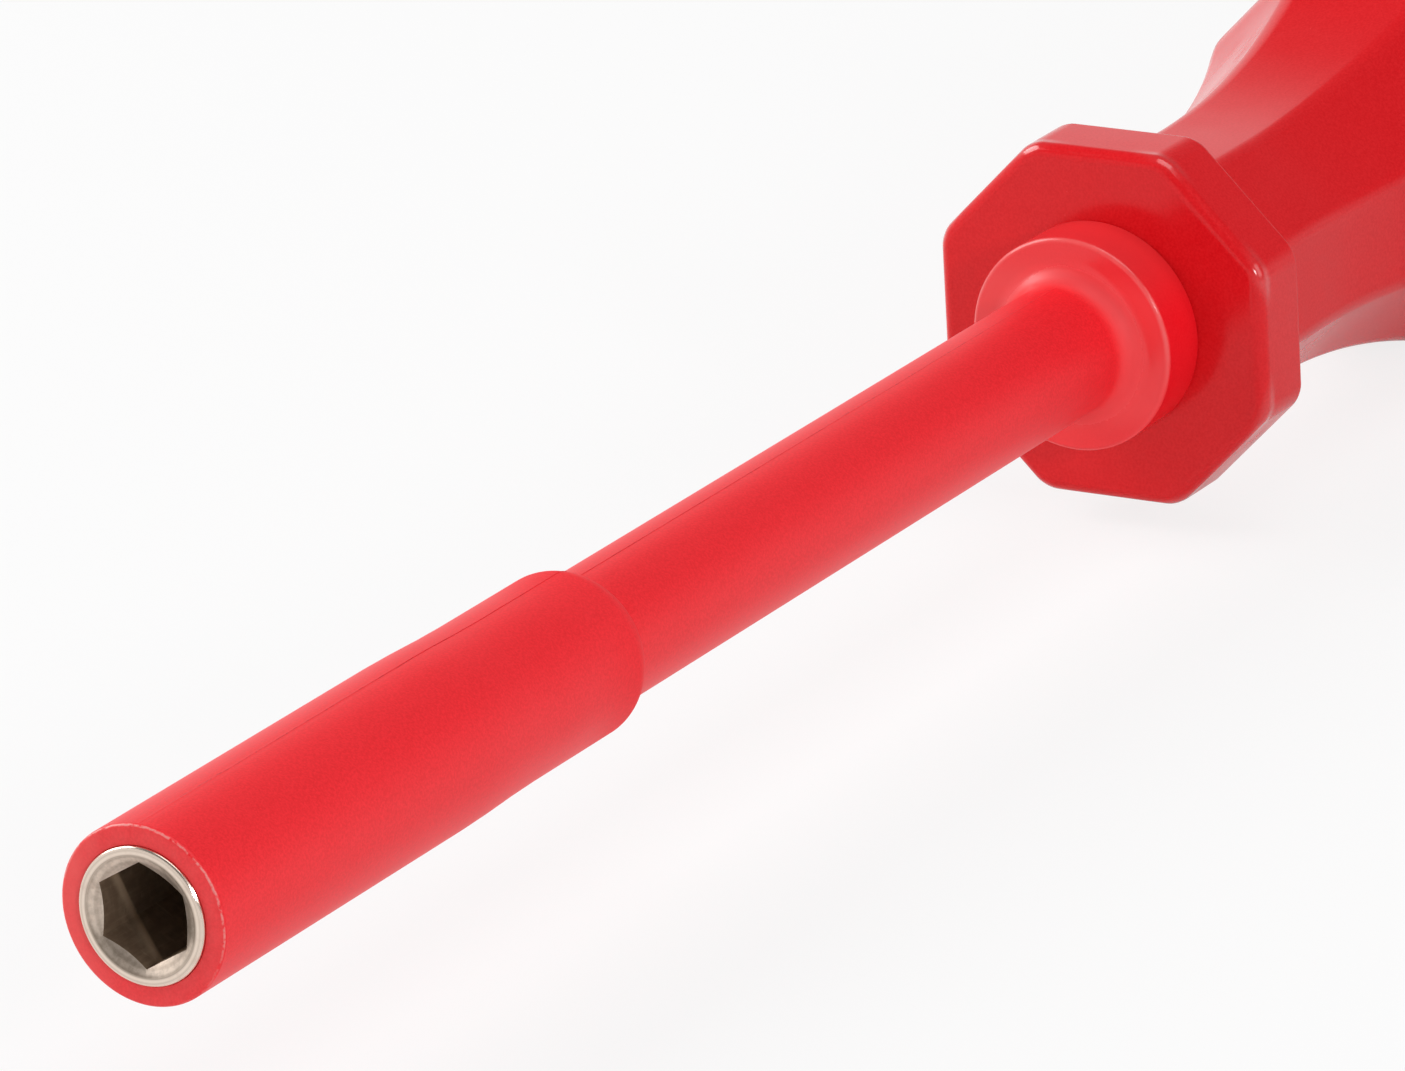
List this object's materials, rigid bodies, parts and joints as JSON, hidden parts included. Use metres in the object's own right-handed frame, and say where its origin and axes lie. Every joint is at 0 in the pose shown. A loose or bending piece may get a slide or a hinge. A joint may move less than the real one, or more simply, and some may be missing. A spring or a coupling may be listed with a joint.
{
  "type": "insulated bit screwdriver",
  "caption": "Insulated screwdriver with a hexagonal bit socket on a sleeved blade, a collar and an octagonal guarded handle; a magnet and a sprung ball hold the bit.",
  "frame": {"origin": "centre of the bit socket's mouth, on the tool's axis", "axes": "+X along the tool's axis from the mouth to the handle, +Z square to the upper flat of the octagonal handle, +Y to complete a right-handed frame"},
  "size_m": [0.2412, 0.031, 0.031],
  "materials": {
    "socket_steel": "satin turned steel",
    "ball_steel": "polished bearing steel",
    "spring_steel": "blued spring steel",
    "magnet_plating": "nickel plated",
    "bush_brass": "turned brass",
    "blade_steel": "drawn steel",
    "insulation_plastic": "fine matte grain, moulded in red",
    "handle_plastic": "polished, moulded in deep red"
  },
  "bodies": {
    "tool": {"bit_socket": "socket_steel", "detent_spring": "spring_steel", "bit_magnet": "magnet_plating", "magnet_bush": "bush_brass", "blade_shaft": "blade_steel", "shaft_insulation": "insulation_plastic", "handle_body": "handle_plastic"},
    "ball": {"detent_ball": "ball_steel"}
  },
  "joints": [
    {"name": "ball_press", "type": "slide", "parent": "tool", "child": "ball", "axis": [0, -1, 0], "range_m": [0, 0.0003], "stiffness_N_per_m": 1500, "deforming": ["detent_spring"]}
  ]
}
